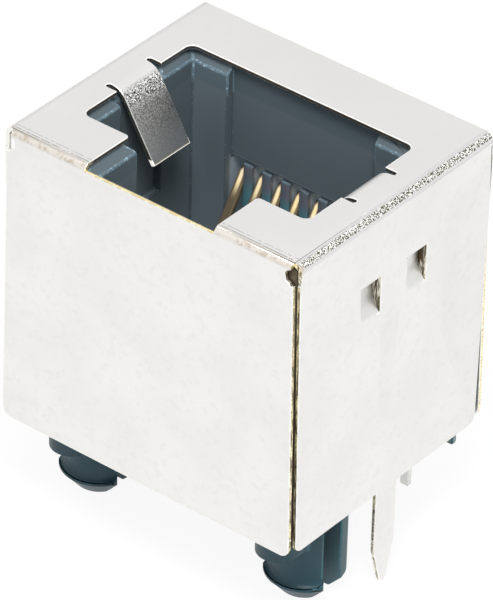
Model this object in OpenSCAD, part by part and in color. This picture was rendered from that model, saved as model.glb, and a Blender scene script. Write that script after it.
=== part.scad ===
// Top-entry eight-way modular jack in a folded shield, for a circuit board.
// Frame: X across the plug, Y from the latch side to the contact side, Z up.
// The origin lies on the board, midway between the two snap-in pegs.

/* [Shield] */
// Width of the shield across the plug
shield_w = 15.8; // [15.2:0.1:17]
// Height of the shield from the flaps' lower edges to the top
shield_h = 14.8; // [14.2:0.1:17]
// Gap between the flaps' lower edges and the board
shield_gap = 1.75; // [1.4:0.05:2.4]
// Thickness of the shield's sheet
sheet_t = 0.2; // [0.15:0.01:0.25]
// Outer radius of the shield's folds
fold_r = 0.45; // [0.35:0.05:0.7]
// How far the front and back flaps stop short of the sides, at their lower corners
flap_inset = 0.05; // [0.05:0.01:0.2]
// How much further they stop short at their shoulders
flap_slant = 0.21; // [0.15:0.01:0.25]
// How far the side folds stop short of the front and back faces
side_fold_inset = 0.25; // [0.21:0.01:0.35]
// Gap between a side flap's lower end and the front or back flap's inner face
seam_gap = 0.26; // [0.24:0.01:0.4]
// How much nearer the side flaps' ends come to those faces at their shoulders
side_slant = 0.26; // [0.1:0.01:0.26]
// Radius of the flaps' lower corners
flap_corner_r = 0.45; // [0.2:0.05:1]
// Radius of the relief holes at the ends of the front and back folds
relief_r = 0.24; // [0.15:0.01:0.3]
// Depth of the relief holes' centres below the top
relief_drop = 0.53; // [0.45:0.01:0.65]
// Depth of the shoulders at the flaps' ends below the top
shoulder_drop = 1.03; // [0.9:0.01:1.2]

/* [Plug opening] */
// Width of the opening in the top panel
opening_w = 12; // [11.8:0.05:12.3]
// Depth of the opening in the top panel
opening_d = 7.15; // [6.9:0.05:7.3]
// Distance from the front face to the opening's near edge
opening_setback = 2.95; // [2.8:0.05:3.1]
// Width of the latch notch in the top panel
notch_w = 6.84; // [6.5:0.02:7.4]
// Angle round the front fold at which the latch notch ends
notch_end_angle = 60; // [45:1:80]
// Radius of the opening's corners
opening_corner_r = 0.4; // [0.2:0.05:0.6]

/* [Spring tabs] */
// Width of a spring tab
tab_w = 2.4; // [1.8:0.1:2.6]
// Length of a spring tab's straight part
tab_len = 3.15; // [2:0.05:3.3]
// Angle through which a spring tab is folded down
tab_angle = 58.5; // [50:0.5:75]
// Outer radius of a spring tab's fold
tab_fold_r = 0.92; // [0.6:0.02:1]
// Width of the relief slit beside a spring tab
slit_w = 0.26; // [0.15:0.01:0.35]
// Distance from the opening's edge to the root of a spring tab
tab_root = 0.54; // [0.45:0.01:0.65]

/* [Lances] */
// Width of a pressed-in lance
lance_w = 1.38; // [1:0.02:1.8]
// Height of a pressed-in lance
lance_h = 1.8; // [1.2:0.05:2.2]
// Depth to which a lance's free corner is pressed in
lance_depth = 0.42; // [0.25:0.01:0.5]
// Distance between the two lances of a side flap
lance_pitch = 3.08; // [2.6:0.02:4]
// How far the pair of lances lies forward of the shield's middle
lance_offset = 0.15; // [0:0.01:0.3]
// Distance from the shield's top to a lance's upper cut
lance_drop = 3.35; // [2.5:0.05:5]
// Width of the cut round a lance
lance_kerf = 0.05; // [0.03:0.01:0.1]

/* [Ground pins] */
// Width of a ground pin
pin_w = 1.4; // [1:0.05:1.8]
// How far the ground pins reach below the board's upper face
pin_reach = 3.25; // [2.5:0.05:4]
// Length of a ground pin's pointed end
pin_point = 1.95; // [1:0.05:2.2]
// Radius of a ground pin's tip
pin_tip_r = 0.22; // [0.1:0.01:0.35]

/* [Housing] */
// Clearance between the housing and the shield
shield_clearance = 0.05; // [0.02:0.01:0.1]
// Width of the plug cavity
cavity_w = 11.7; // [11.6:0.02:11.9]
// Depth of the plug cavity from its latch side to its contact side
cavity_d = 6.95; // [6.8:0.05:7.1]
// Distance from the shield's front face to the cavity's latch side
cavity_setback = 3.1; // [3:0.05:3.2]
// Depth of the cavity's floor below the shield's top
plug_depth = 12.6; // [11.9:0.05:12.8]
// Size of the lead-in chamfer round the cavity's mouth
lead_in = 0.5; // [0.3:0.05:0.6]
// Width of the latch slot
latch_w = 6.2; // [6:0.05:6.4]
// Thickness of the wall below and in front of the latch catches
latch_wall = 0.65; // [0.5:0.05:0.8]
// Gap between the two latch catches
catch_gap = 4; // [3.6:0.05:4.4]
// Depth of the latch catches' upper faces below the shield's top
catch_drop = 2.3; // [2.2:0.05:2.6]
// Height of a latch catch
catch_h = 1.2; // [0.8:0.05:1.5]
// Width of a latch catch from the wall in front of the slot
catch_d = 1; // [0.8:0.05:1.2]
// Margin of the recess in the cavity's contact side, beyond the outer contacts
recess_margin = 0.144; // [0.12:0.004:0.3]
// Depth of the recess in the cavity's contact side
recess_d = 0.42; // [0.2:0.02:0.6]
// Depth of the pocket beside each spring tab
tab_pocket_d = 0.35; // [0.2:0.05:0.5]
// Height of the pocket beside each spring tab, below the shield's top
tab_pocket_h = 6.4; // [5:0.1:7]
// Clearance between a spring tab and the end of its pocket
tab_clearance = 0.12; // [0.08:0.01:0.2]
// Height of the housing's underside above the flaps' lower edges
housing_lift = 0.15; // [0.1:0.01:0.25]
// Thickness left behind the rear solder tails
rear_wall = 0.14; // [0.1:0.01:0.4]

/* [Board pegs] */
// Distance between the two pegs
peg_pitch = 11.43; // [11.2:0.01:11.6]
// Distance from the shield's front face to the pegs' line
peg_setback = 4; // [3.8:0.05:4.2]
// Radius of the front leg's shaft
peg_r = 1.5; // [1.45:0.01:1.55]
// Radius of the front leg's barb and of the straight rear leg
barb_r = 1.79; // [1.7:0.01:1.85]
// Radius of the hollow between the front leg's shaft and its barb
barb_hollow_r = 0.36; // [0.3:0.02:0.45]
// Height of the barb's rim
barb_rim_h = 0.06; // [0.04:0.01:0.12]
// Radius of a peg's tip
peg_tip_r = 1.04; // [0.9:0.01:1.2]
// Length of a peg's shaft below the board's upper face
peg_grip = 1.65; // [1.6:0.05:2]
// Length of a peg's barb from the shaft's end to the tip
barb_h = 1.32; // [1:0.02:1.5]
// Width of the slot that splits a peg
peg_slot_w = 1.06; // [0.8:0.01:1.12]
// Distance between the flats on a peg's two sides
peg_flats = 3; // [2.6:0.05:3.2]
// Radius of the feet in front of the pegs
foot_r = 1; // [0.8:0.05:1.2]
// Distance from a peg's axis to the centre of its foot
foot_reach = 1.88; // [1.6:0.02:2.1]
// Width of a rear foot
rear_foot_w = 1; // [0.8:0.1:1.6]
// Depth of a rear foot
rear_foot_d = 0.34; // [0.3:0.02:0.8]
// Distance from the housing's side to its rear foot
rear_foot_inset = 0.8; // [0.5:0.05:1]

/* [Contacts] */
// Distance between neighbouring contacts in the cavity
contact_pitch = 1.016; // [1.01:0.002:1.03]
// Distance between neighbouring solder tails across the plug
tail_pitch = 1.27; // [1.24:0.01:1.3]
// Distance between the two rows of solder tails
tail_row_pitch = 2.54; // [2.4:0.01:2.6]
// Distance from the pegs' line to the nearer row of tails
tail_setback = 6.2; // [6.1:0.01:6.4]
// How far the solder tails reach below the board's upper face
tail_reach = 3.25; // [2.5:0.05:4]
// Width of a contact
contact_w = 0.46; // [0.4:0.01:0.48]
// Thickness of a contact
contact_t = 0.3; // [0.2:0.01:0.32]
// Angle between a free contact spring and the vertical
contact_angle = 33; // [28:0.5:34]
// Middle radius of the bend at a contact's top
contact_bend_r = 0.4; // [0.35:0.01:0.5]
// Length of a contact's free spring
contact_len = 5.9; // [5:0.05:6]
// Depth of the contacts' bends below the shield's top
contact_drop = 5.7; // [5.6:0.05:6.2]
// Distance from the cavity's contact side to the middle of the contacts' upright runs
contact_setback = 1.5; // [1.4:0.02:1.6]

/* [Contact carrier] */
// Thickness of a comb rib
rib_t = 0.5; // [0.42:0.01:0.5]
// Height of the comb's ribs above the contacts' bends
rib_rise = 0.55; // [0.4:0.05:0.8]
// Gap between the comb's ribs and the housing above them
comb_headroom = 0.15; // [0.05:0.05:0.3]
// Thickness of the carrier behind the contacts
carrier_back = 0.7; // [0.6:0.05:0.75]
// Thickness of the carrier's base below the housing
base_h = 1.35; // [1.2:0.05:1.5]
// Margin of the base round the solder tails
base_margin = 0.5; // [0.3:0.05:0.6]
// Clearance between the carrier and the housing
carrier_clearance = 0.05; // [0.03:0.01:0.1]
// Clearance between a contact and the carrier
contact_clearance = 0.02; // [0.01:0.005:0.02]

/* [Hidden] */
$fn = 48;
EPS = 0.01;
BIG = 40;
CONTACTS = 8;

// Cavity, contacts and the carrier's upright part
top_z = shield_gap + shield_h;
front_y = -peg_setback;
cavity_front_y = front_y + cavity_setback;
cavity_back_y = cavity_front_y + cavity_d;
floor_z = top_z - plug_depth;
bend_top_z = top_z - contact_drop;
run_y = cavity_back_y + contact_setback;
comb_front_y = cavity_back_y + recess_d;
comb_top_z = bend_top_z + rib_rise;
carrier_rear_y = run_y + contact_t / 2 + contact_clearance + carrier_back;
recess_w = (CONTACTS - 1) * contact_pitch + contact_w + 2 * recess_margin;
carrier_w = recess_w - 2 * carrier_clearance;

// Housing: its back leaves room for the carrier and for the rear row of tails
rear_tail_y = tail_setback + tail_row_pitch + contact_t / 2 + contact_clearance;
housing_back_y = max(rear_tail_y, carrier_rear_y + carrier_clearance) + rear_wall;
housing_front_y = front_y + sheet_t + shield_clearance;
housing_w = shield_w - 2 * (sheet_t + shield_clearance);
housing_top_z = top_z - sheet_t - shield_clearance;
housing_bottom_z = shield_gap + housing_lift;
latch_front_y = housing_front_y + latch_wall;

// Shield
back_y = housing_back_y + shield_clearance + sheet_t;
shield_d = back_y - front_y;
mid_y = (front_y + back_y) / 2;
under_z = top_z - sheet_t;
opening_front_y = front_y + opening_setback;
opening_mid_y = opening_front_y + opening_d / 2;
tab_root_x = opening_w / 2 + tab_root;

// The carrier's base
base_w = (CONTACTS - 1) * tail_pitch + contact_w + 2 * base_margin;
base_front_y = tail_setback - contact_t / 2 - base_margin;
base_top_z = housing_bottom_z - carrier_clearance;
base_bottom_z = base_top_z - base_h;
jog_z = base_bottom_z + base_h / 2;

TIN = "gainsboro";
MOULDING = "#33424d";
CARRIER = "#2c4149";
GOLD = "goldenrod";

// ---- Shapes used by several pieces ----

// Rectangle with round corners, centred on the origin
module rounded_rect(size, r) {
    square([size[0] - 2 * r, size[1]], center = true);
    square([size[0], size[1] - 2 * r], center = true);
    for (x = [-1, 1], y = [-1, 1])
        translate([x * (size[0] / 2 - r), y * (size[1] / 2 - r)]) circle(r);
}

// What a round convex corner of radius r takes away from a square one at the origin
module corner_cut(r) {
    difference() {
        translate([-EPS, -EPS]) square(r + EPS);
        translate([r, r]) circle(r);
    }
}

// Part of a ring between the angles from and to, less than half a turn apart
module ring_sector(outer_r, inner_r, from, to) {
    mid = (from + to) / 2;
    reach = 2 * outer_r;
    intersection() {
        difference() {
            circle(outer_r);
            circle(inner_r);
        }
        polygon([[0, 0], reach * [cos(from), sin(from)], reach * [cos(mid), sin(mid)],
                 reach * [cos(to), sin(to)]]);
    }
}

// Stands a drawing made in Y and Z across the part, from x = -width / 2 to width / 2
module across(width) {
    rotate([90, 0, 90]) linear_extrude(width, center = true) children();
}

// Stands a drawing made in X and Z along the part, from y = -depth / 2 to depth / 2
module along(depth) {
    rotate([90, 0, 0]) linear_extrude(depth, center = true) children();
}

// A copy on each side of the part's middle plane
module both_sides() {
    children();
    mirror([1, 0, 0]) children();
}

// ---- Shield ----

// Section through a panel with a flap folded down at each side; its top lies on y = 0
module folded_section(span) {
    difference() {
        translate([0, -shield_h / 2]) rounded_rect([span, shield_h], fold_r);
        translate([0, -shield_h / 2 - sheet_t])
            rounded_rect([span - 2 * sheet_t, shield_h], fold_r - sheet_t);
        translate([-span / 2 - EPS, -shield_h - EPS]) square([span + 2 * EPS, fold_r + EPS]);
    }
    for (side = [-1, 1])
        translate([side * (span - sheet_t) / 2 - sheet_t / 2, -shield_h]) square([sheet_t, 2 * fold_r]);
}

// Outline of a pair of flaps seen square on, with its top on y = 0: the fold is fold_span wide,
// the flaps widen below the shoulders from shoulder_span to flap_span
module flap_outline(fold_span, shoulder_span, flap_span) {
    translate([-fold_span / 2, -shoulder_drop - EPS]) square([fold_span, shoulder_drop + EPS]);
    low = 2 * flap_corner_r;
    translate([0, low - shield_h]) rounded_rect_lower_half([flap_span, 2 * low], flap_corner_r);
    polygon([[-shoulder_span / 2, -shoulder_drop], [shoulder_span / 2, -shoulder_drop],
             [flap_span / 2, low - shield_h], [-flap_span / 2, low - shield_h]]);
}

module rounded_rect_lower_half(size, r) {
    difference() {
        rounded_rect(size, r);
        translate([-size[0], EPS]) square(2 * size);
    }
}

// The drop-shaped corner relief at the right-hand end of a front or back fold
module fold_relief(fold_span, shoulder_span) {
    translate([fold_span / 2, 0]) {
        translate([0, -relief_drop]) circle(relief_r);
        end = (shoulder_span - fold_span) / 2 + EPS;
        polygon([[-relief_r, -relief_drop], [-0.8 * relief_r, -relief_drop - 1.4 * relief_r],
                 [end, -shoulder_drop], [end, -relief_drop]]);
    }
}

module front_and_back_flaps() {
    fold_span = shield_w - 2 * fold_r;
    flap_span = shield_w - 2 * flap_inset;
    shoulder_span = flap_span - 2 * flap_slant;
    translate([0, mid_y, top_z]) intersection() {
        across(shield_w) folded_section(shield_d);
        along(shield_d + 2 * EPS) difference() {
            flap_outline(fold_span, shoulder_span, flap_span);
            fold_relief(fold_span, shoulder_span);
            mirror([1, 0]) fold_relief(fold_span, shoulder_span);
        }
    }
}

module side_flaps() {
    fold_span = shield_d - 2 * side_fold_inset;
    flap_span = shield_d - 2 * (sheet_t + seam_gap);
    shoulder_span = flap_span + 2 * side_slant;
    translate([0, mid_y, top_z]) intersection() {
        along(shield_d) folded_section(shield_w);
        across(shield_w + 2 * EPS) flap_outline(fold_span, shoulder_span, flap_span);
    }
}

// Drawn in X and Y: everything that is punched out of the top panel before folding
module top_opening() {
    translate([0, opening_mid_y]) rounded_rect([opening_w, opening_d], opening_corner_r);
    translate([-notch_w / 2, front_y - EPS])
        square([notch_w, opening_front_y - front_y + opening_corner_r]);
    for (side = [0, 1]) mirror([side, 0]) {
        translate([notch_w / 2, opening_front_y]) mirror([0, 1]) corner_cut(opening_corner_r / 2);
        translate([0, mid_y]) {
            translate([opening_w / 4, -tab_w / 2 - slit_w])
                square([tab_root_x - opening_w / 4, tab_w + 2 * slit_w]);
            for (end = [-1, 1])
                translate([tab_root_x, end * (tab_w + slit_w) / 2]) circle(slit_w / 2);
        }
    }
}

// The latch notch runs into the front fold and ends square to the sheet there
module latch_notch_end() {
    reach = 2 * fold_r;
    translate([0, front_y + fold_r, top_z - fold_r]) across(notch_w)
        polygon([[0, 0], reach * [-sin(notch_end_angle), cos(notch_end_angle)], [-reach, reach],
                 [0, reach]]);
}

module spring_tab() {
    down = [-cos(tab_angle), -sin(tab_angle)];
    translate([tab_root_x, mid_y, top_z - tab_fold_r]) along(tab_w) {
        ring_sector(tab_fold_r, tab_fold_r - sheet_t, 90, 90 + tab_angle);
        rotate(tab_angle + 90) translate([tab_fold_r - sheet_t, 0]) square([sheet_t, tab_len]);
    }
}

// A leaf of the right-hand flap, cut along its top and its far side. It turns in like a door
// about a sharp crease at its near side, and fades smoothly into the flap at its foot
module lance_leaf() {
    steps = 7;
    lap = 0.04;
    w = lance_w - lance_kerf;
    h = lance_h - lance_kerf;
    turn = function (s) s <= 0 ? 0 : s;
    fade = function (s) s <= 0 ? 0 : s < 0.5 ? 2 * s * (1.5 - s) : 1;
    grid_w = concat([-lap], [for (i = [0:steps]) w * i / steps]);
    grid_h = concat([-lap], [for (j = [0:steps]) h * j / steps]);
    n = len(grid_w);
    face = function (back)
        [for (u = grid_w, v = grid_h)
            [-lance_depth * turn(u / w) * fade(v / h) - back, u, v]];
    at = function (i, j, back) back * n * n + i * n + j;
    last = n - 1;
    cells = [for (i = [0:last - 1], j = [0:last - 1]) each [
        [at(i, j, 0), at(i, j + 1, 0), at(i + 1, j + 1, 0)],
        [at(i, j, 0), at(i + 1, j + 1, 0), at(i + 1, j, 0)],
        [at(i, j, 1), at(i + 1, j + 1, 1), at(i, j + 1, 1)],
        [at(i, j, 1), at(i + 1, j, 1), at(i + 1, j + 1, 1)]]];
    rims = [for (i = [0:last - 1]) each [
        [at(i, 0, 0), at(i + 1, 0, 0), at(i + 1, 0, 1), at(i, 0, 1)],
        [at(i, last, 0), at(i, last, 1), at(i + 1, last, 1), at(i + 1, last, 0)],
        [at(0, i, 0), at(0, i, 1), at(0, i + 1, 1), at(0, i + 1, 0)],
        [at(last, i, 0), at(last, i + 1, 0), at(last, i + 1, 1), at(last, i, 1)]]];
    polyhedron(points = concat(face(0), face(sheet_t)), faces = concat(cells, rims));
}

// Places something at the lower near corner of each lance of the right-hand flap
module at_lances() {
    for (end = [-1, 1])
        translate([shield_w / 2, mid_y - lance_offset + (end * lance_pitch - lance_w) / 2,
                   top_z - lance_drop - lance_h])
            children();
}

// Drawn in Y and Z: a pin that runs down from its flap and narrows to a round tip
module pin_outline() {
    point_z = -pin_reach + pin_point;
    translate([-pin_w / 2, point_z]) square([pin_w, shield_gap - point_z + fold_r]);
    lean = atan((pin_w / 2 - pin_tip_r) / pin_point);
    touch = pin_tip_r * [cos(lean), -sin(lean)];
    tip_z = -pin_reach + pin_tip_r;
    polygon([[-pin_w / 2, point_z], [-touch[0], tip_z + touch[1]], [touch[0], tip_z + touch[1]],
             [pin_w / 2, point_z]]);
    translate([0, tip_z]) circle(pin_tip_r);
}

module ground_pin() {
    translate([(shield_w - sheet_t) / 2, mid_y, 0]) across(sheet_t) pin_outline();
}

module shield() {
    color(TIN) {
        difference() {
            union() {
                front_and_back_flaps();
                side_flaps();
            }
            translate([0, 0, under_z - EPS]) linear_extrude(sheet_t + 2 * EPS) top_opening();
            latch_notch_end();
            both_sides() at_lances()
                translate([-sheet_t - EPS, 0, 0]) cube([sheet_t + 2 * EPS, lance_w, lance_h]);
        }
        both_sides() {
            spring_tab();
            at_lances() lance_leaf();
            ground_pin();
        }
    }
}

// ---- Housing ----

// A box of the given X and Y limits, from low to high
module block(x, y, z) {
    translate([x[0], y[0], z[0]]) cube([x[1] - x[0], y[1] - y[0], z[1] - z[0]]);
}

// The sloping lead-in above a straight-sided hollow with the given X and Y limits
module mouth(x, y) {
    hull() {
        block(x, y, [housing_top_z - lead_in, housing_top_z - lead_in + EPS]);
        block([x[0] - lead_in, x[1] + lead_in], [y[0] - lead_in, y[1] + lead_in],
              [housing_top_z, housing_top_z + EPS]);
    }
}

module plug_cavity() {
    x = [-cavity_w / 2, cavity_w / 2];
    y = [cavity_front_y, cavity_back_y];
    block(x, y, [floor_z, BIG]);
    difference() {
        mouth(x, y);
        block([-recess_w / 2, recess_w / 2], [cavity_back_y, BIG], [0, BIG]);
    }
    block([-recess_w / 2, recess_w / 2], [cavity_back_y - EPS, cavity_back_y + recess_d],
          [bend_top_z, BIG]);
}

// Above the catches the slot is open right up to the shield's front flap
module latch_slot() {
    x = [-latch_w / 2, latch_w / 2];
    catch_top_z = top_z - catch_drop;
    difference() {
        block(x, [latch_front_y, cavity_front_y + EPS], [floor_z, BIG]);
        both_sides()
            block([catch_gap / 2, latch_w / 2 + EPS], [latch_front_y - EPS, latch_front_y + catch_d],
                  [catch_top_z - catch_h, catch_top_z]);
    }
    block(x, [front_y, latch_front_y + EPS], [catch_top_z, BIG]);
    mouth(x, [front_y, cavity_front_y]);
}

// Room for a spring tab to be pushed flat against the cavity's side
module tab_pocket() {
    x = [0, cavity_w / 2 + tab_pocket_d];
    half = tab_w / 2 + tab_clearance;
    y = [mid_y - half, mid_y + half];
    block(x, y, [top_z - tab_pocket_h, BIG]);
    mouth(x, y);
}

// Room for the lances of a side flap
module lance_pocket() {
    inner_x = shield_w / 2 - sheet_t - lance_depth - 2 * shield_clearance;
    margin = 2 * shield_clearance;
    at_lances()
        translate([inner_x - shield_w / 2, -margin, -margin])
            cube([shield_w, lance_w + 2 * margin, lance_h + 2 * margin]);
}

// The space in the contact side for the carrier, open to the cavity and below
module carrier_space() {
    block([-recess_w / 2, recess_w / 2], [cavity_back_y - EPS, carrier_rear_y + carrier_clearance],
          [-BIG, comb_top_z + comb_headroom]);
}

// Half the outline of a leg that is straight down to shoulder_z, where a barb may begin, and
// tapers below its widest place
module leg_outline(shaft_r, shoulder_z) {
    widest_z = -peg_grip - barb_hollow_r - barb_rim_h;
    tip_z = -peg_grip - barb_h;
    polygon([[0, housing_bottom_z + EPS], [shaft_r, housing_bottom_z + EPS], [shaft_r, shoulder_z],
             [barb_r, shoulder_z], [barb_r, widest_z], [peg_tip_r, tip_z], [0, tip_z]]);
}

// A split peg: the front leg is a springy shaft whose hollow neck widens into a barb, the rear
// leg is as wide as the barb and straight. A slot parts them and their sides are flat
module board_peg() {
    slot = [-peg_slot_w / 2, peg_slot_w / 2];
    flats = [-peg_flats / 2, peg_flats / 2];
    intersection() {
        rotate_extrude() difference() {
            leg_outline(peg_r, -peg_grip);
            translate([peg_r + barb_hollow_r, -peg_grip]) circle(barb_hollow_r);
        }
        block(flats, [-BIG, slot[0]], [-BIG, BIG]);
    }
    intersection() {
        rotate_extrude() leg_outline(barb_r, 0);
        block(flats, [slot[1], BIG], [-BIG, BIG]);
    }
}

// The foot that sits on the board in front of a peg
module peg_foot() {
    translate([0, -foot_reach, 0]) cylinder(r = foot_r, h = housing_bottom_z + EPS);
    leg_mid_y = -(peg_r + peg_slot_w / 2) / 2;
    block([-foot_r, foot_r], [-foot_reach, leg_mid_y], [0, housing_bottom_z + EPS]);
}

// A small foot at each rear corner, clear of the carrier's base
module rear_foot() {
    outer_x = housing_w / 2 - rear_foot_inset;
    block([outer_x - rear_foot_w, outer_x], [housing_back_y - rear_foot_d, housing_back_y],
          [0, housing_bottom_z + EPS]);
}

// Outline of the moulding from its bottom to its top, with the top corners cut off to clear the
// insides of the shield's folds
module moulding_outline(span) {
    half = span / 2;
    cut = fold_r - sheet_t;
    polygon([[-half, housing_bottom_z], [-half, housing_top_z - cut], [cut - half, housing_top_z],
             [half - cut, housing_top_z], [half, housing_top_z - cut], [half, housing_bottom_z]]);
}

module moulding_block() {
    depth = housing_back_y - housing_front_y;
    translate([0, mid_y, 0]) intersection() {
        along(depth) moulding_outline(housing_w);
        across(housing_w) moulding_outline(depth);
    }
}

module housing() {
    color(MOULDING) {
        difference() {
            moulding_block();
            plug_cavity();
            latch_slot();
            carrier_space();
            both_sides() {
                tab_pocket();
                lance_pocket();
            }
        }
        both_sides() {
            translate([peg_pitch / 2, 0, 0]) {
                board_peg();
                peg_foot();
            }
            rear_foot();
        }
    }
}

// ---- Contacts ----

// The rows alternate: odd contacts have their tails in the row nearer the pegs
function tail_y(k) = tail_setback + (k % 2 == 0 ? tail_row_pitch : 0);
function place(k, pitch) = (k - (CONTACTS + 1) / 2) * pitch;

// Drawn in Y and Z: the bend at the top, the free spring and the run down to the base.
// grow widens it on every side, to make the slot that holds it
module contact_path(k, grow) {
    t = contact_t + 2 * grow;
    bend_y = run_y - contact_bend_r;
    bend_z = bend_top_z - contact_t / 2 - contact_bend_r;
    turn = 180 - contact_angle;
    translate([bend_y, bend_z]) {
        ring_sector(contact_bend_r + t / 2, contact_bend_r - t / 2, 0, turn / 2);
        ring_sector(contact_bend_r + t / 2, contact_bend_r - t / 2, turn / 2, turn);
        rotate(turn) translate([contact_bend_r - t / 2, 0]) square([t, contact_len + grow]);
    }
    translate([run_y - t / 2, jog_z - t / 2]) square([t, bend_z - jog_z + t / 2]);
    ends = [min(run_y, tail_y(k)) - t / 2, max(run_y, tail_y(k)) + t / 2];
    translate([ends[0], jog_z - t / 2]) square([ends[1] - ends[0], t]);
}

module contact(k, grow = 0) {
    run_x = place(k, contact_pitch);
    tail_x = place(k, tail_pitch);
    w = contact_w / 2 + grow;
    t = contact_t / 2 + grow;
    translate([run_x, 0, 0]) across(2 * w) contact_path(k, grow);
    // The strip steps sideways from the comb's pitch to the tails' pitch, and its lower edge
    // rests on the bottom of its slot
    block([min(run_x, tail_x) - w, max(run_x, tail_x) + w], [tail_y(k) - t, tail_y(k) + t],
          [jog_z - contact_w, jog_z + t]);
    block([tail_x - w, tail_x + w], [tail_y(k) - t, tail_y(k) + t],
          [-tail_reach - grow, jog_z]);
}

module contact_1() { color(GOLD) contact(1); }
module contact_2() { color(GOLD) contact(2); }
module contact_3() { color(GOLD) contact(3); }
module contact_4() { color(GOLD) contact(4); }
module contact_5() { color(GOLD) contact(5); }
module contact_6() { color(GOLD) contact(6); }
module contact_7() { color(GOLD) contact(7); }
module contact_8() { color(GOLD) contact(8); }

// ---- Contact carrier ----

module contact_carrier() {
    half = carrier_w / 2;
    spine_front_y = run_y + contact_t / 2 + contact_clearance;
    color(CARRIER) difference() {
        union() {
            block([-half, half], [spine_front_y, carrier_rear_y], [base_bottom_z, comb_top_z]);
            for (k = [1:CONTACTS - 1])
                translate([(k - CONTACTS / 2) * contact_pitch, 0, 0])
                    block([-rib_t / 2, rib_t / 2], [comb_front_y, spine_front_y + EPS],
                          [base_bottom_z, comb_top_z]);
            block([-base_w / 2, base_w / 2], [base_front_y, housing_back_y],
                  [base_bottom_z, base_top_z]);
        }
        for (k = [1:CONTACTS]) contact(k, contact_clearance);
    }
}

shield();
housing();
contact_carrier();
contact_1();
contact_2();
contact_3();
contact_4();
contact_5();
contact_6();
contact_7();
contact_8();
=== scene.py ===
# %% [markdown]
# # A top-entry network socket
# This is the little socket that a network plug clicks into, made to stand upright on a circuit
# board: a dark moulding with a row of sprung contacts, wrapped in a folded skin of tinned sheet
# metal. The sizes and shapes of the pieces come from the construction model, which is loaded
# first. Everything here is about how they look: soft edges, plated and bare metal, the grain of
# a fold, and a quiet studio to see them in.

# %% Load the construction model
import math

import bmesh
import bpy
from mathutils import Matrix, Vector
from mathutils.bvhtree import BVHTree


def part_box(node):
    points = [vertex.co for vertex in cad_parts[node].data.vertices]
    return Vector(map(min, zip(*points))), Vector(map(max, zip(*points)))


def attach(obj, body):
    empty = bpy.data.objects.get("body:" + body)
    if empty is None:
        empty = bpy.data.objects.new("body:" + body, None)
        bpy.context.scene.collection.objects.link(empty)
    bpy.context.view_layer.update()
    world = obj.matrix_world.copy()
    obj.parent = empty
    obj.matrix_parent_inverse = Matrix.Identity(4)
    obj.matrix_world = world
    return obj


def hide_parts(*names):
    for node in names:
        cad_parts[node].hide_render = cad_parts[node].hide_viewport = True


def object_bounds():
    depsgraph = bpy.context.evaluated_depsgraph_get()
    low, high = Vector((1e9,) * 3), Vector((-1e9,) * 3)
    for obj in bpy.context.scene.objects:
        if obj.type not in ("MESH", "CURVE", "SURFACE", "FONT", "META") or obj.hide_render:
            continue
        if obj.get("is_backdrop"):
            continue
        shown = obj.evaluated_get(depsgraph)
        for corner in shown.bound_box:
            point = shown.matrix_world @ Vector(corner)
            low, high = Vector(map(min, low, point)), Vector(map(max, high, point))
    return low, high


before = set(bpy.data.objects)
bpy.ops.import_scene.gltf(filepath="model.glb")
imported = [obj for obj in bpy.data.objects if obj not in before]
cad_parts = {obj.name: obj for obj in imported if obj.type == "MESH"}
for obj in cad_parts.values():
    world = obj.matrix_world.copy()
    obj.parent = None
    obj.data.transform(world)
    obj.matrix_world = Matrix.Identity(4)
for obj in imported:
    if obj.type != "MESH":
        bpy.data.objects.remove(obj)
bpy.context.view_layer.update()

MM = 0.001

# %% [markdown]
# ## Measuring the sheet
# Most of the finishes change from place to place: grain only on the folds, tin only on the
# tails. So the finishes need to know where the folds are. The outside of the sheet is measured
# on the construction model, and the few sizes of the sheet itself are given here in millimetres.

# %% Measure the construction model
def box_of(node):
    """The lowest and highest corner of a node, in millimetres."""
    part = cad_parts[node]
    points = [part.matrix_world @ v.co / MM for v in part.data.vertices]
    return [Vector(pick(p[axis] for p in points) for axis in range(3)) for pick in (min, max)]


SHEET_LOW, SHEET_HIGH = box_of("shield")
SHEET_MID = (SHEET_LOW + SHEET_HIGH) / 2
HALF_WIDTH = SHEET_HIGH.x
FRONT, BACK, TOP = SHEET_LOW.y, SHEET_HIGH.y, SHEET_HIGH.z
SHEET_THICKNESS = 0.2
FOLD_RADIUS = 0.45
BOARD_GAP = 1.75  # from the board to the lower edge of the sheet
print("sheet, mm:", [round(v, 2) for v in (HALF_WIDTH, FRONT, BACK, TOP)])

# %% The places that the finishes ask for
LANCE_HIGH, LANCE_LOW = TOP - 3.3, TOP - 5.2
NOTCH_HALF_WIDTH = 3.42
NOTCH_EDGE = TOP - 0.22
TAB_END = TOP - 3.13
TAB_HALF_WIDTH = 1.2
BEND_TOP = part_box("contact_1")[1].z / MM
COMB_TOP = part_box("contact_carrier")[1].z / MM
COMB_FRONT = BACK - 2.83
CONTACT_PITCH = 1.016
print("tops of the contacts and of the comb, mm:", round(BEND_TOP, 2), round(COMB_TOP, 2))

# %% [markdown]
# ## The camera
# A long lens from a quarter of a metre away keeps the upright edges nearly parallel, as in a
# catalogue picture. A camera can be dragged into place by eye, but this one is placed by the
# direction it looks in, so that the numbers mean something: it stands in front of the
# right-hand corner and looks down.

# %% Camera
CAMERA_AZIMUTH = math.radians(38.044)
CAMERA_ELEVATION = math.radians(35.310)
CAMERA_ROLL = math.radians(1.654)
CAMERA_DISTANCE = 257.75
CAMERA_AIM = Vector((0.105, FRONT + 6.615, 7.870))
LENS = 364.28
NEAREST, FARTHEST = 10, 3000


def direction(azimuth, elevation):
    """Points from the socket towards something; azimuth 0 is straight in front."""
    return Vector((math.sin(azimuth) * math.cos(elevation),
                   -math.cos(azimuth) * math.cos(elevation), math.sin(elevation)))


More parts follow.
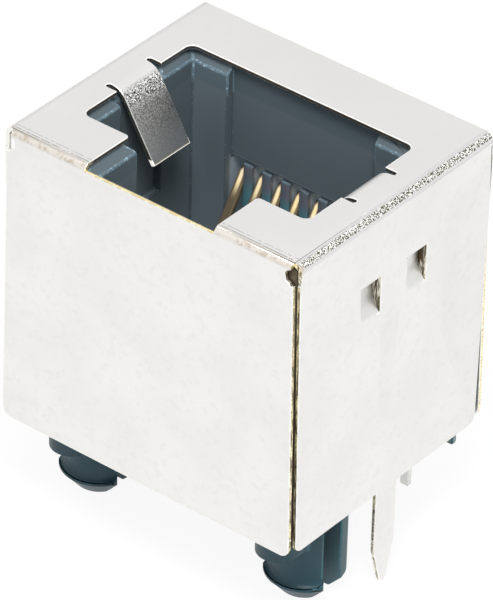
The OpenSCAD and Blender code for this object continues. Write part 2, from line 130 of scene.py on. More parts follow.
def add_camera():
    away = direction(CAMERA_AZIMUTH, CAMERA_ELEVATION)
    data = bpy.data.cameras.new("camera")
    data.lens = LENS
    data.clip_start, data.clip_end = NEAREST * MM, FARTHEST * MM
    camera = bpy.data.objects.new("camera", data)
    facing = (-away).to_track_quat("-Z", "Y").to_matrix()
    turn = facing @ Matrix.Rotation(CAMERA_ROLL, 3, "Z")
    place = (CAMERA_AIM + away * CAMERA_DISTANCE) * MM
    camera.matrix_world = Matrix.Translation(place) @ turn.to_4x4()
    bpy.context.scene.collection.objects.link(camera)
    bpy.context.scene.camera = camera
    return camera


camera = add_camera()
print("camera at, mm:", [round(v / MM, 1) for v in camera.matrix_world.translation])

# %% [markdown]
# ## Writing shaders as sums
# A pattern such as "a little darker where the noise is high" reads best as arithmetic. A Wire
# stands for one output of a shader node, and adding or multiplying wires adds the Math nodes
# that do it. The reflected forms let a plain number come first, as in 1 - mask.

# %% A wire
class Wire:
    def __init__(self, tree, socket):
        self.tree, self.socket = tree, socket

    def maths(self, operation, first, second):
        return self.tree.node("Math", {"operation": operation}, {0: first, 1: second})

    def __add__(self, other): return self.maths("ADD", self, other)
    def __radd__(self, other): return self.maths("ADD", other, self)
    def __sub__(self, other): return self.maths("SUBTRACT", self, other)
    def __rsub__(self, other): return self.maths("SUBTRACT", other, self)
    def __mul__(self, other): return self.maths("MULTIPLY", self, other)
    def __rmul__(self, other): return self.maths("MULTIPLY", other, self)
    def __truediv__(self, other): return self.maths("DIVIDE", self, other)
    def __rtruediv__(self, other): return self.maths("DIVIDE", other, self)
    def __abs__(self): return self.maths("ABSOLUTE", self, 0.0)

# %% [markdown]
# ## One method for every other node
# Whatever isn't arithmetic is made by Tree.node, which takes the kind of node, its settings and
# what goes into its sockets. It serves the materials and the studio's world alike, so there is
# only one way of making a node to learn.

# %% A tree of nodes
class Tree:
    """The nodes of a material or of the world."""

    def __init__(self, owner):
        self.owner = owner
        owner.use_nodes = True
        self.nodes, self.links = owner.node_tree.nodes, owner.node_tree.links
        self.nodes.clear()

    def node(self, kind, settings=None, sockets=None, output=0):
        made = self.nodes.new("ShaderNode" + kind)
        for name, value in (settings or {}).items():
            setattr(made, name, value)
        for name, value in (sockets or {}).items():
            if isinstance(value, Wire):
                self.links.new(value.socket, made.inputs[name])
            else:
                made.inputs[name].default_value = value
        return Wire(self, made.outputs[output] if len(made.outputs) else None)

    def seen_by(self, *rays):
        """1 for the named kinds of ray, 0 for the others."""
        seen, *others = [self.node("LightPath", output=f"Is {ray} Ray") for ray in rays]
        for other in others:
            seen = self.node("Math", {"operation": "MAXIMUM"}, {0: seen, 1: other})
        return seen

# %% [markdown]
# ## A finish
# A finish is a tree in a material that knows where it is: x, y and z are wires that carry the
# place on the object in millimetres. Its masks are 1 inside a region and 0 outside, with a soft
# border, and multiplying two of them gives the region that both cover.

# %% A finish
class Finish(Tree):
    def __init__(self, name):
        super().__init__(bpy.data.materials.new(name))
        self.place = self.node("TexCoord", output="Object")
        self.x, self.y, self.z = [self.node("SeparateXYZ", {}, {0: self.place}, axis) / MM
                                  for axis in range(3)]

    def mix(self, mask, low, high):
        """A colour between low, where the mask is 0, and high, where it is 1."""
        return self.node("Mix", {"data_type": "RGBA"}, {0: mask, 6: low, 7: high}, 2)

    def rise(self, value, low, high):
        """0 where the value is under low, 1 where it is over high, smooth between."""
        return self.node("MapRange", {"interpolation_type": "SMOOTHSTEP"},
                         {0: value, 1: low, 2: high})

    def fall(self, value, low, high):
        """1 where the value is under low, 0 where it is over high, smooth between."""
        return 1 - self.rise(value, low, high)

    def line(self, value, centre, half_width, blur):
        """1 where the value is near the centre."""
        return self.fall(abs(value - centre), half_width, half_width + blur)

    def noise(self, size, detail=2.0, roughness=0.5, stretch=(1, 1, 1)):
        """Soft random values about 0.5, with features of about the given size."""
        spread = self.node("Mapping", {}, {"Vector": self.place,
                                           "Scale": Vector(stretch) / (size * MM)})
        return self.node("TexNoise", {}, {"Vector": spread, "Scale": 1.0, "Detail": detail,
                                          "Roughness": roughness})

    def bump(self, height, depth, under=None):
        """A surface raised by the height, 0 to 1, times the depth in millimetres."""
        sockets = {"Height": height, "Distance": depth * MM, "Strength": 1.0}
        if under is not None:
            sockets["Normal"] = under
        return self.node("Bump", {}, sockets)

    def surface(self, **values):
        """Ends the finish with a Principled shader. Names use _ for a space."""
        names = {name.replace("_", " "): value for name, value in values.items()}
        self.node("OutputMaterial", {}, {"Surface": self.node("BsdfPrincipled", {}, names)})
        print(self.owner.name, "has", len(self.nodes), "nodes")
        return self.owner


# %% Colours
def grey(value):
    return (value, value, value, 1.0)


def rgb(red, green, blue):
    """A colour from the 0 to 255 values of a screen colour."""
    def linear(v):
        v /= 255
        return v / 12.92 if v <= 0.04045 else ((v + 0.055) / 1.055) ** 2.4
    return (linear(red), linear(green), linear(blue), 1.0)


BLACK = grey(0.0)
BRIGHT_TIN = rgb(255, 255, 252)
print("bright tin:", [round(v, 3) for v in BRIGHT_TIN])

# %% [markdown]
# ## Tin plate
# The skin is brass sheet with a dull coat of tin, nearly white, with faint clouds and a finer
# mottle. It could be painted as an image and wrapped round the sheet, but the sheet would have
# to be unwrapped, and the image would blur close up. Two noises of different size need neither.
# The flat top is painted a touch darker than the sides, a painted shade, as it faces the lamp.

# %% Plain tin, with a painted shade on the top
def plain_tin_and_top_shade(f):
    colour = f.mix(f.rise(f.noise(3.5, 4.0), 0.3, 0.7), rgb(235, 234, 232), rgb(240, 239, 237))
    # Painted shade: the flat top is painted darker than the sides
    colour = f.mix(f.rise(f.z, TOP - 0.2, TOP - 0.05) * 0.6, colour, rgb(228, 227, 226))
    mottle = f.noise(0.35, 2.0, 0.6)
    return f.mix(f.rise(mottle, 0.5, 0.7) * 0.5, colour, rgb(230, 229, 228))


# %% [markdown]
# ## The folds
# Tin is brittle. Along the sides, where the sheet is folded, the coat is crazed into a band of
# fine dark and bright grains, and the arc of the fold is painted a little grey, a painted shade.
# The front fold has only a warm tint, a painted reflection, with two scored lines behind it.
# Cracks could be cut into the mesh, but they are finer than it is, so colour and a small bump
# stand for them. Both folds need the way round their arc, so that is worked out once.

# %% Round a fold
def fold_arc(f, out, up):
    """Where a fold turns: out runs towards the flap and up towards the top, both measured from
    the middle of the fold's arc. Gives the arc's mask and the way round it, -1 to 1."""
    arc = f.rise(out, -0.02, 0.05) * f.rise(up, -0.02, 0.05)
    return arc, (out - up) / FOLD_RADIUS


def above_folds(f):
    """The height above the middle of the folds' arcs."""
    return f.z - (TOP - FOLD_RADIUS)


# %% The crazed side folds
GRAIN_SIZE = 0.065


def craze_side_folds(f, colour):
    """Gives the colour, the mask of the crazed band and its grain."""
    arc, turn = fold_arc(f, abs(f.x) - (HALF_WIDTH - FOLD_RADIUS), above_folds(f))
    band = arc * f.line(turn, 0.0, 0.35, 0.25) * (0.3 + 0.7 * f.rise(f.x, 0.0, 1.0))
    grain = f.noise(GRAIN_SIZE, 1.0, 0.5)
    # Painted shade: the arc of the fold is painted a little grey
    colour = f.mix(arc * 0.35, colour, rgb(206, 204, 206))
    colour = f.mix(band * f.rise(grain, 0.5, 0.54), colour, rgb(92, 88, 58))
    return f.mix(band * f.fall(grain, 0.44, 0.48), colour, BRIGHT_TIN), band, grain


# %% The front fold: a painted warm reflection and scored lines
SCORED_LINES = ((0.12, 0.5), (0.3, 0.3))  # how far behind the fold, and how strong


def front_fold_reflection_and_scores(f, colour, flecks):
    arc, turn = fold_arc(f, (FRONT + FOLD_RADIUS) - f.y, above_folds(f))
    # Painted reflection: a warm tint on the arc of the front fold
    warm = f.mix(f.rise(flecks, 0.5, 0.6), rgb(226, 219, 209), rgb(198, 184, 166))
    colour = f.mix(arc * f.line(turn, -0.1, 0.45, 0.3) * 0.8, colour, warm)
    dots = f.rise(f.noise(0.16, 1.0, 0.5), 0.4, 0.5)
    on_top = f.rise(above_folds(f), FOLD_RADIUS - 0.03, FOLD_RADIUS - 0.01)
    for behind, strength in SCORED_LINES:
        scored = f.line(f.y, FRONT + FOLD_RADIUS + behind - 0.2, 0.02, 0.02) * on_top
        colour = f.mix(scored * dots * strength, colour, rgb(96, 94, 92))
    return colour


# %% [markdown]
# ## The notch and the rear seam
# The latch of the plug comes in over a notch in the front flap, whose edge shows brass. The rear
# edge of the right-hand side is painted as a narrow seam that leans a little: a cream line, and
# beside it a dark line of painted shade for the gap. A burr or a gap could be modelled, but marks
# as thin as these change the colour and not the shape, so they are painted where the edge is.

# %% The notch and the painted rear seam
def notch_rim(f):
    """The edge of the front flap where the latch notch opens it."""
    rim = f.fall(abs(f.x), NOTCH_HALF_WIDTH, NOTCH_HALF_WIDTH + 0.05)
    rim = rim * f.rise(f.z, NOTCH_EDGE - 0.1, NOTCH_EDGE - 0.07)
    return rim * f.fall(f.y, FRONT + 0.25, FRONT + 0.3)


def paint_rear_seam(f, colour):
    across = f.y - (BACK - 0.05) + (f.z - 7.0) * 0.03
    rear_seam = f.rise(f.x, HALF_WIDTH - 0.05, HALF_WIDTH - 0.02) * f.rise(f.z, 6.0, 8.0)
    rear_seam = rear_seam * f.fall(f.z, TOP - 0.6, TOP - 0.55)
    colour = f.mix(rear_seam * f.rise(across, 0.02, 0.05), colour, rgb(255, 250, 232))
    # Painted shade: the dark line stands for the narrow gap of the seam
    return f.mix(rear_seam * f.line(across, 0.0, 0.03, 0.03) * 0.8, colour, rgb(104, 94, 76))


# %% [markdown]
# ## Spring tabs and lances
# Two tabs are folded down into the opening to press on the plug. They stand in the dark of the
# cavity, so they are painted grey, a painted shade that fades towards their tips, with a painted
# highlight along their lower edge. Their fold is pitted, with painted glints among the pits. The
# lances are small leaves pressed inwards in the side flaps, with a faint shade along the crease.
# Each could have a material of its own, but they are one sheet with the rest, and masks let the
# coat run into them without a border.

# %% The spring tabs
def darken_tabs(f, colour):
    """Gives the colour, the masks of the tabs and of their fold, and the pits in the fold."""
    tab = f.rise(HALF_WIDTH - 0.9 - abs(f.x), 0.0, 0.1)
    tab = tab * f.line(f.y, SHEET_MID.y, TAB_HALF_WIDTH + 0.1, 0.01)
    tab = tab * f.fall(f.z, TOP - 0.35, TOP - 0.1)
    bend = tab * f.rise(f.z, TOP - 1.2, TOP - 0.6)
    pits = f.noise(0.07, 2.0, 0.7)
    # Painted shade: the tabs are painted grey for the dark of the cavity
    face = f.mix(f.rise(pits, 0.4, 0.6), rgb(190, 190, 188), rgb(120, 120, 118))
    # The painted shade fades towards the tip
    face = f.mix(f.fall(f.z, TAB_END, TOP - 1.2) * 0.7, face, rgb(230, 230, 228))
    colour = f.mix(tab * (1 - bend * 0.7), colour, face)
    colour = f.mix(bend * f.rise(pits, 0.5, 0.55), colour, rgb(72, 74, 74))
    # Painted glints: bright grains among the pits of the fold
    colour = f.mix(bend * f.fall(pits, 0.42, 0.47), colour, BRIGHT_TIN)
    # Painted highlight: a bright line along the lower edge of each tab
    lower_edge = tab * f.fall(f.z, TAB_END + 0.07, TAB_END + 0.1)
    return f.mix(lower_edge, colour, rgb(255, 248, 222)), tab, bend, pits


# %% The lances
def shade_lances(f, colour):
    sunk = f.rise(abs(f.x), HALF_WIDTH - 0.5, HALF_WIDTH - 0.45)
    sunk = sunk * f.fall(abs(f.x), HALF_WIDTH - 0.02, HALF_WIDTH - 0.01)
    sunk = sunk * f.rise(f.y, FRONT + 1.0, FRONT + 1.1)
    sunk = sunk * f.rise(f.z, LANCE_LOW, LANCE_LOW + 0.3)
    sunk = sunk * f.fall(f.z, LANCE_HIGH, LANCE_HIGH + 0.05)
    return f.mix(sunk * 0.5, colour, rgb(210, 210, 209))


# %% [markdown]
# ## The finish of the sheet
# Here the steps above are laid over each other, from the plain coat up, in one material for the
# whole sheet. The small bumps come last and rest on one another: a fine tooth everywhere, the
# grain of the crazed band, and the pits of the tabs' fold.

# %% Tinned sheet
def tinned_sheet():
    f = Finish("tinned_sheet")
    flecks = f.noise(0.3, 3.0, 0.7)
    colour, band, grain = craze_side_folds(f, plain_tin_and_top_shade(f))
    colour = front_fold_reflection_and_scores(f, colour, flecks)
    punched = f.mix(f.rise(flecks, 0.45, 0.55), rgb(255, 247, 218), rgb(228, 206, 152))
    colour = f.mix(notch_rim(f), colour, punched)
    colour, tab, bend, pits = darken_tabs(f, paint_rear_seam(f, colour))
    colour = shade_lances(f, colour)
    normal = f.bump(f.noise(0.12, 3.0), 0.002)
    normal = f.bump(grain * band, 0.04, normal)
    normal = f.bump(pits * bend, 0.05, normal)
    return f.surface(Base_Color=colour, Metallic=1.0, Roughness=0.42 - tab * 0.08,
                     Normal=normal)


TIN = tinned_sheet()

# %% [markdown]
# ## Painted edge highlights
# The rounded edges of the sheet are painted as a bright line, a painted highlight where the
# rounding catches the light. A mask that looks for edges could draw it, but it is slow and its
# line is never quite as wide as the rounding. So the rounded edges have this finish of their own.
# The tips of the tabs and the lip of the opening stand next to the dark cavity, where the soft
# light doesn't reach, so they are given a faint glow, painted light.

# %% Tin with a painted edge highlight
TIP_GLOW, LIP_GLOW = grey(0.35), grey(0.2)


def tab_sides(f):
    """The cut edges of the spring tabs, and of these the part at the tip."""
    tab = f.fall(abs(f.x), HALF_WIDTH - 1.0, HALF_WIDTH - 0.9)
    tab = tab * f.fall(f.z, TOP - 1.1, TOP - 1.0) * f.rise(f.z, TAB_END - 0.3, TAB_END - 0.25)
    return tab, tab * f.fall(f.z, TAB_END + 0.2, TAB_END + 0.25)


def rubbed_tin():
    f = Finish("rubbed_tin")
    patches = f.noise(0.4, 3.0, 0.6)
    # Painted highlight: the rounded edges are painted near white
    colour = f.mix(f.rise(patches, 0.4, 0.65), BRIGHT_TIN, rgb(240, 238, 230))
    colour = f.mix(notch_rim(f), colour, rgb(255, 238, 186))
    fold_start = f.rise(f.z, TOP - 0.15, TOP - 0.1) * f.fall(f.y, FRONT + 0.32, FRONT + 0.36)
    beside_notch = f.rise(abs(f.x), NOTCH_HALF_WIDTH, NOTCH_HALF_WIDTH + 0.1)
    colour = f.mix(fold_start * beside_notch, colour, rgb(222, 216, 208))
    tip = tab_sides(f)[1]
    # Painted highlight on the tips of the tabs
    colour = f.mix(tip, colour, rgb(255, 250, 234))
    lip = f.rise(f.z, TOP - 0.1, TOP - 0.05)
    lip = lip * f.fall(abs(f.x), HALF_WIDTH - 1.1, HALF_WIDTH - 1.0)
    lip = lip * f.rise(f.y, FRONT + 0.5, FRONT + 0.6) * f.fall(f.y, BACK - 0.8, BACK - 0.7)
    # Painted light: a faint glow on the tips and on the lip of the opening
    glow = f.mix(tip, f.mix(lip, BLACK, LIP_GLOW), TIP_GLOW)
    return f.surface(Base_Color=colour, Metallic=1.0 - tip, Roughness=0.35,
                     Emission_Color=glow, Emission_Strength=1.0)


EDGE_HIGHLIGHT = rubbed_tin()

# %% [markdown]
# ## Bare brass
# The cut edges of the sheet show brass, speckled as if a little tin was dragged over it. How much
# shows depends on the place: much at the front seam and hardly any on the pins, which look
# dipped in solder. In the opening the edges face the dark cavity, so they are painted dark, a
# painted shade. Every edge could be painted by hand, but one finish with a mask for each place
# serves them all, and it still fits when the sheet changes.

# %% Where the cuts are
def by_lances(f):
    """The height of the lances, with a little to spare."""
    return (f.rise(f.z, LANCE_LOW - 0.1, LANCE_LOW)
            * f.fall(f.z, LANCE_HIGH + 0.1, LANCE_HIGH + 0.15))


def in_opening(f):
    """The edges of the opening in the top."""
    return (f.fall(abs(f.x), 6.8, 6.9) * f.rise(f.y, FRONT + 0.5, FRONT + 0.6)
            * f.rise(f.z, TOP - 1.1, TOP - 1.0))


def by_right_relief(f):
    """The edge of the relief hole in the right-hand front corner."""
    return (f.rise(f.z, TOP - 1.15, TOP - 1.0) * f.fall(f.z, TOP - 0.6, TOP - 0.5)
            * f.rise(f.x, HALF_WIDTH - 1.0, HALF_WIDTH - 0.9))


# %% Bare brass
def bare_brass():
    f = Finish("bare_brass")
    streaks = f.noise(0.12, 3.0, 0.6, stretch=(1, 1, 0.15))
    speckle = f.noise(0.08, 2.0, 0.6)
    colour = f.mix(f.rise(speckle, 0.45, 0.6), rgb(255, 248, 212), rgb(214, 192, 138))
    dipped = f.fall(f.z, 0.9, 1.1)
    solder = f.mix(f.rise(speckle, 0.45, 0.52), rgb(240, 236, 220), rgb(126, 116, 96))
    colour = f.mix(dipped, colour, solder)

    # Along the front seam the edge of the side is duller than the edge of the flap
    dull = f.rise(f.x, HALF_WIDTH - 0.3, HALF_WIDTH - 0.2) * f.fall(f.y, FRONT + 0.6, FRONT + 0.7)
    colour = f.mix(dull * f.rise(streaks, 0.4, 0.6) * (1 - dipped), colour, rgb(98, 86, 62))

    # Tin ran over the cut edges on the left
    colour = f.mix(f.fall(f.x, 0.9 - HALF_WIDTH, 1.0 - HALF_WIDTH), colour, rgb(232, 230, 224))
    # Painted shade: the edges in the opening are painted dark, as they face the dark cavity
    colour = f.mix(in_opening(f), colour, rgb(104, 94, 86))

    # The sides of the spring tabs are in shade, and their tips catch the light
    tab, tip = tab_sides(f)
    colour = f.mix(tab, colour, rgb(112, 106, 96))
    colour = f.mix(tip, colour, rgb(255, 250, 234))

    # Round the relief hole and in the lances the edge is dark, with traces of tin
    traces = f.mix(f.rise(speckle, 0.48, 0.54), rgb(236, 230, 208), rgb(92, 84, 66))
    colour = f.mix(by_right_relief(f) * 0.9, colour, traces)
    between_flaps = f.rise(f.y, FRONT + 1.0, FRONT + 1.1) * f.fall(f.y, BACK - 1.0, BACK - 0.9)
    torn = f.mix(f.rise(streaks, 0.47, 0.53), rgb(248, 244, 228), rgb(88, 78, 58))
    colour = f.mix(by_lances(f) * between_flaps * 0.9, colour, torn)
    return f.surface(Base_Color=colour, Metallic=0.8 - tip * 0.8, Roughness=0.4,
                     Emission_Color=f.mix(tip, BLACK, TIP_GLOW), Emission_Strength=1.0,
                     Normal=f.bump(speckle, 0.004))


BRASS = bare_brass()

# %% [markdown]
# ## Plastics
# The housing is a dark slate-blue moulding and the contact carrier a second one. More lamps
# could light the cavity, but they would wash out the metal, so the plastic carries painted
# light: it is painted lighter where it is deep and in the recess behind the comb, a little darker
# and bluer near the top, and its darkest recesses glow faintly. The pegs are painted darker at
# the front and lighter behind, a painted shade and light. The edges have a finish of their own,
# with a painted highlight. Where the moulding is seen only through a seam or a hole, it is
# painted with the shade that is there, and behind the left relief hole it is painted pale,
# painted light.

# %% Behind the sheet
def behind_left_relief(f):
    return (f.rise(f.z, TOP - 1.5, TOP - 1.4) * f.fall(f.x, 1.2 - HALF_WIDTH, 1.3 - HALF_WIDTH)
            * f.fall(f.y, FRONT + 0.6, FRONT + 0.7))


def seen_through_gaps(f, colour):
    """Painted shade behind the seam and lances, with streaks; painted light behind the relief."""
    streaks = f.noise(0.14, 2.0, 0.6, stretch=(1, 1, 0.12))
    near_side = f.rise(abs(f.x), HALF_WIDTH - 0.6, HALF_WIDTH - 0.5)
    streaked = f.mix(f.rise(streaks, 0.46, 0.54), rgb(244, 238, 220), rgb(92, 80, 58))
    colour = f.mix(by_lances(f) * near_side, colour, streaked)
    front = f.rise(f.z, BOARD_GAP, BOARD_GAP + 0.2) * f.fall(f.y, FRONT + 0.6, FRONT + 0.7)
    behind_seam = front * f.rise(f.x, HALF_WIDTH - 1.3, HALF_WIDTH - 1.2)
    # Painted shade: dark brown behind the front seam
    colour = f.mix(behind_seam, colour, rgb(66, 56, 40))
    # Painted light: pale behind the left relief hole, which hides it
    return f.mix(behind_left_relief(f), colour, rgb(226, 225, 222))


# %% The housing
def above_board(f):
    """0 on the pegs and feet, 1 in the housing's body."""
    return f.rise(f.z, BOARD_GAP - 0.1, BOARD_GAP + 0.3)


def moulding_plastic():
    f = Finish("housing_plastic")
    # Painted shade and light: the pegs are darker at the front and lighter behind
    pegs = f.mix(f.rise(f.y, 0.2, 0.6), rgb(22, 56, 66), rgb(64, 88, 94))
    pegs = f.mix(f.rise(f.y, 5.0, 6.0), pegs, rgb(118, 134, 134))
    # Painted light: the cavity is lighter where it is deep, and lighter still in the recess
    cavity = f.mix(f.fall(f.z, 4.0, 13.0), rgb(84, 95, 101), rgb(106, 118, 125))
    recess = f.rise(f.y, COMB_FRONT - 0.3, COMB_FRONT)
    recess = recess * f.fall(f.z, COMB_TOP + 0.2, COMB_TOP + 0.3)
    cavity = f.mix(recess, cavity, rgb(124, 132, 138))
    # Painted shade: a little darker and bluer near the top
    cavity = f.mix(f.rise(f.z, TOP - 1.7, TOP - 1.5) * 0.6, cavity, rgb(72, 86, 94))
    colour = f.mix(above_board(f), pegs, cavity)
    clouds = f.noise(2.5, 3.0)
    colour = f.mix(f.rise(clouds, 0.3, 0.7) * 0.1, colour, rgb(96, 106, 112))

    # A faint glow lifts the deepest shade, behind the comb and in the left relief hole
    lifted = f.mix(recess * f.rise(f.z, BOARD_GAP, BOARD_GAP + 1.0), BLACK, rgb(50, 60, 66))
    lifted = f.mix(behind_left_relief(f), lifted, rgb(150, 150, 148))
    return f.surface(Base_Color=seen_through_gaps(f, colour), Roughness=0.42,
                     Specular_IOR_Level=0.3, Emission_Color=lifted, Emission_Strength=1.0,
                     Normal=f.bump(f.noise(0.1, 3.0), 0.003))


MOULDING = moulding_plastic()

# %% The housing's edges
def edge_plastic():
    f = Finish("edge_plastic")
    inside = above_board(f)
    near_top = f.rise(f.z, TOP - 1.9, TOP - 1.5)
    sparkle = f.rise(f.noise(0.16, 2.0, 0.7), 0.54, 0.66)
    # Painted highlight: the edges in the cavity are lighter near the top
    cavity = f.mix(near_top, rgb(72, 83, 89), rgb(92, 110, 120))
    colour = f.mix(inside, rgb(44, 84, 94), cavity)
    # Painted glints: a sparkle of light along the edges
    colour = f.mix(sparkle * (0.1 + 0.6 * near_top * inside), colour, rgb(160, 186, 200))
    return f.surface(Base_Color=seen_through_gaps(f, colour), Roughness=0.35,
                     Specular_IOR_Level=0.3)


MOULDING_EDGE = edge_plastic()

# %% The contact carrier
def carrier_plastic():
    f = Finish("carrier_plastic")
    clouds = f.noise(0.5, 3.0)
    ribs = f.mix(f.rise(clouds, 0.4, 0.6), rgb(82, 90, 98), rgb(92, 90, 100))
    colour = f.mix(f.rise(f.z, COMB_TOP - 1.5, COMB_TOP - 0.5), rgb(70, 112, 122), ribs)
    colour = f.mix(f.rise(f.z, BOARD_GAP + 0.5, BOARD_GAP + 1.5), rgb(64, 88, 94), colour)

    # Painted light: the slots between the ribs are pale, or they would be lost in the dark
    in_slot = f.rise(f.y, COMB_FRONT + 0.08, COMB_FRONT + 0.3)
    in_slot = in_slot * f.rise(f.z, BOARD_GAP + 1.0, BOARD_GAP + 2.0)
    far_back = f.rise(f.y, COMB_FRONT + 0.3, COMB_FRONT + 0.9)
    colour = f.mix(in_slot, colour, f.mix(far_back, rgb(140, 148, 154), rgb(236, 240, 242)))
    # Painted highlight: the crests of the ribs, which face up, are lighter
    crest = f.rise(f.z, COMB_TOP - 0.14, COMB_TOP - 0.08)
    crest = crest * f.rise(f.noise(0.25, 2.0), 0.45, 0.55)
    colour = f.mix(crest, colour, rgb(90, 106, 114))
    # Painted light: a faint glow in the slots
    lifted = f.mix(in_slot * f.rise(f.z, COMB_TOP - 3.0, COMB_TOP - 1.0), BLACK, rgb(46, 54, 58))
    return f.surface(Base_Color=colour, Roughness=0.4, Normal=f.bump(f.noise(0.1, 3.0), 0.003),
                     Emission_Color=lifted, Emission_Strength=1.0)


CARRIER = carrier_plastic()

# %% [markdown]
# ## Gold plate
# The contacts are gold where the plug touches them and tinned where they are soldered. Of each
# wire only the crown of the bend catches the light, so there the wire is painted bright down its
# middle, a painted highlight with a faint glow, and elsewhere the gold is painted a dull brown, a
# painted shade. Eight materials could do it, one for each wire. A distance across the row that
# starts again at every wire lets one finish put the bright line on all of them.

# %% Gold plate
def gold_plate():
    f = Finish("gold_plate")
    patches = f.noise(0.3, 3.0, 0.6, stretch=(1, 0.3, 0.3))
    gold = f.mix(f.rise(patches, 0.3, 0.7), rgb(255, 240, 204), rgb(252, 226, 170))
    across = f.node("Math", {"operation": "WRAP"}, {0: f.x, 1: CONTACT_PITCH, 2: 0.0})
    middle = f.fall(abs(across - CONTACT_PITCH / 2), 0.04, 0.15)
    bright = f.rise(f.z, BEND_TOP - 1.25, BEND_TOP - 0.45) * middle
    # Painted highlight down the middle of the bend, a dull brown painted shade elsewhere
    gold = f.mix(bright, rgb(124, 110, 88), gold)
    tinned = f.fall(f.z, BOARD_GAP - 0.6, BOARD_GAP - 0.4)
    colour = f.mix(tinned, gold, rgb(236, 235, 232))
    return f.surface(Base_Color=colour, Metallic=0.5 - bright * 0.3, Roughness=0.3,
                     Emission_Color=f.mix(bright, BLACK, rgb(104, 90, 60)),
                     Emission_Strength=1.0)


GOLD = gold_plate()

# %% [markdown]
# ## Which faces are cut, and which edges are soft
# The sheet's faces were rolled and plated, and its edges were cut. They could be picked by hand,
# but the picks would be lost whenever the model changed. A ray shot into the metal tells them
# apart instead: behind a plated face the sheet ends after its own thickness. The rounding is
# given edge by edge, because at the corners, where folds meet, small edges crowd together and
# rounding them would throw up spikes.

# %% Cut faces
LANCE_ZONE = 0.75   # how far in from the side the lances reach
STEP_HEIGHT = 0.06  # the fine steps where the folds start are lower than this
THICKNESS_SLACK = 0.04


def is_cut(tree, face):
    """Whether a face of the sheet was made by cutting it. On the pressed lances the test is the
    way the face looks, and the fine steps where the folds start are plated too."""
    centre = face.calc_center_median()
    height = centre.z / MM
    if abs(centre.x) / MM > HALF_WIDTH - LANCE_ZONE and LANCE_LOW < height < LANCE_HIGH:
        return abs(face.normal.x) < 0.3
    if height > TOP - STEP_HEIGHT and abs(face.normal.y) > 0.9:
        return False
    for start in [centre] + [centre.lerp(corner.co, 0.5) for corner in face.verts]:
        depth = tree.ray_cast(start - face.normal * 1e-6, -face.normal)[3]
        if depth is not None and abs(depth / MM - SHEET_THICKNESS) < THICKNESS_SLACK:
            return False
    return True

# %% Soft edges
def is_soft(edge, corner_degrees, shortest):
    """Whether an edge gets rounded: it is sharp, it is long enough, and it isn't one of the
    edges that crowd together where the folds of the sheet meet in a corner."""
    if len(edge.link_faces) != 2 or edge.calc_face_angle(0.0) < math.radians(corner_degrees):
        return False
    if edge.calc_length() < shortest * MM:
        return False
    middle = (edge.verts[0].co + edge.verts[1].co) / 2 / MM
    by_side = abs(middle.x) > HALF_WIDTH - 0.8
    by_end = middle.y < FRONT + 0.5 or middle.y > BACK - 0.5
    return not (by_side and by_end and middle.z > TOP - 0.55)

# %% [markdown]
# ## The pieces
# Each piece is a copy of a node of the construction model with its sharp edges rounded by a
# Bevel modifier. It could be modelled again with more care for the looks, but a copy can't drift
# away from the true sizes. The width is what the maker's tools leave: hardly any on sheet metal,
# more on a moulding. The cut faces and the rounded edges can have finishes of their own.

# %% Dress a piece
EDGE_MATERIAL = 2


def dressed_mesh(node, name, materials, corner_degrees, shortest):
    """The node's mesh with its cut faces found and its soft edges marked."""
    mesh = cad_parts[node].data.copy()
    mesh.name = name
    mesh.materials.clear()
    skin, cut, edge = materials
    for material in (skin, cut or skin, edge or skin):
        mesh.materials.append(material)
    work = bmesh.new()
    work.from_mesh(mesh)
    bmesh.ops.remove_doubles(work, verts=work.verts, dist=1e-7)
    tree = BVHTree.FromBMesh(work)
    for face in work.faces:
        face.material_index = int(cut is not None and is_cut(tree, face))
    bmesh.ops.dissolve_limit(work, angle_limit=math.radians(0.5), verts=work.verts,
                             edges=work.edges, delimit={"MATERIAL"})
    softness = work.edges.layers.float.new("bevel_weight_edge")
    for line in work.edges:
        line[softness] = float(is_soft(line, corner_degrees, shortest))
    work.to_mesh(mesh)
    count = sum(face.material_index for face in work.faces)
    soft = sum(line[softness] > 0 for line in work.edges)
    print(name, len(work.faces), "faces,", count, "of them cut, and", soft, "soft edges")
    work.free()
    return mesh


def piece_of(node, name, width, skin, cut=None, edge=None, corner_degrees=30, segments=2,
             shortest=0.0):
    mesh = dressed_mesh(node, name, (skin, cut, edge), corner_degrees, shortest)
    piece = bpy.data.objects.new(name, mesh)
    bpy.context.scene.collection.objects.link(piece)
    mesh.shade_smooth()
    mesh.set_sharp_from_angle(angle=math.radians(corner_degrees))
    soften = piece.modifiers.new("soft edges", "BEVEL")
    soften.width = width * MM
    soften.segments = segments
    soften.limit_method = "WEIGHT"
    soften.harden_normals = True
    soften.use_clamp_overlap = False
    soften.loop_slide = False
    soften.material = EDGE_MATERIAL if edge else -1
    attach(piece, "root")
    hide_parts(node)
    return piece


# %% The shield, the housing, the carrier and the contacts
piece_of("shield", "shield_sheet", 0.04, TIN, cut=BRASS, edge=EDGE_HIGHLIGHT)
piece_of("housing", "housing_moulding", 0.09, MOULDING, edge=MOULDING_EDGE, shortest=0.15)
piece_of("contact_carrier", "carrier_moulding", 0.04, CARRIER)
for number in range(1, 9):
    piece_of(f"contact_{number}", f"contact_wire_{number}", 0.08, GOLD, segments=3)

# %% [markdown]
# ## The studio
# A small bright object is shown on white. A plain white floor would lose the soft shadow, so this
# one is pale paper with white laid over it for the camera and for reflections. Beyond the floor
# the camera sees a white world. The light that the world gives is a little lower, which keeps
# the front of the sheet from burning out. One lamp, wide for so small an object, stands above
# the camera and gives the soft shadows their direction.

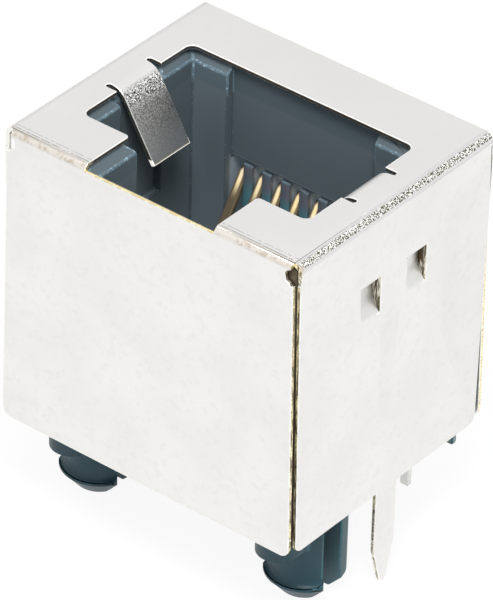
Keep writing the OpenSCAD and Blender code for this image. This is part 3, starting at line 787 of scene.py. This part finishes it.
# %% The floor
FLOOR_SIZE = 2.0        # metres
FLOOR_GAP = 0.02        # below the pins' tips
FLOOR_WHITENESS = 0.92  # the rest is the paper, which holds the shadow


def add_floor():
    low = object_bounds()[0].z
    bpy.ops.mesh.primitive_plane_add(size=FLOOR_SIZE, location=(0, 0, low - FLOOR_GAP * MM))
    floor = bpy.context.object
    floor.name = "floor"
    tree = Tree(bpy.data.materials.new("floor_paper"))
    paper = tree.node("BsdfDiffuse", {}, {"Color": grey(0.8)})
    white = tree.node("Emission", {}, {"Color": grey(1.0), "Strength": 1.0})
    shown = tree.node("MixShader", {}, {0: tree.seen_by("Camera", "Glossy") * FLOOR_WHITENESS,
                                        1: paper, 2: white})
    tree.node("OutputMaterial", {}, {"Surface": shown})
    floor.data.materials.append(tree.owner)
    floor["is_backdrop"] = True
    return floor


floor = add_floor()
print("floor at, mm:", round(floor.location.z / MM, 2))

# %% The world
WORLD_STRENGTH = 0.925


def add_world():
    tree = Tree(bpy.data.worlds.new("studio"))
    light = tree.node("Background", {}, {"Color": grey(1.0), "Strength": WORLD_STRENGTH})
    white = tree.node("Background", {}, {"Color": grey(1.0), "Strength": 1.0})
    shown = tree.node("MixShader", {}, {0: tree.seen_by("Camera"), 1: light, 2: white})
    tree.node("OutputWorld", {}, {"Surface": shown})
    bpy.context.scene.world = tree.owner
    return tree


world = add_world()
print("the world has", len(world.nodes), "nodes")

# %% The lamp
def add_softbox(name, azimuth, elevation, distance, side, power):
    data = bpy.data.lights.new(name, "AREA")
    data.size = side * MM
    data.energy = power
    lamp = bpy.data.objects.new(name, data)
    away = direction(math.radians(azimuth), math.radians(elevation))
    lamp.location = (SHEET_MID + away * distance) * MM
    lamp.rotation_euler = (-away).to_track_quat("-Z", "Y").to_euler()
    bpy.context.scene.collection.objects.link(lamp)
    return lamp


key = add_softbox("key", azimuth=38, elevation=60, distance=300, side=90, power=0.9)
bpy.context.scene.view_settings.view_transform = "Standard"
print("lamp at, mm:", [round(v / MM, 1) for v in key.location])
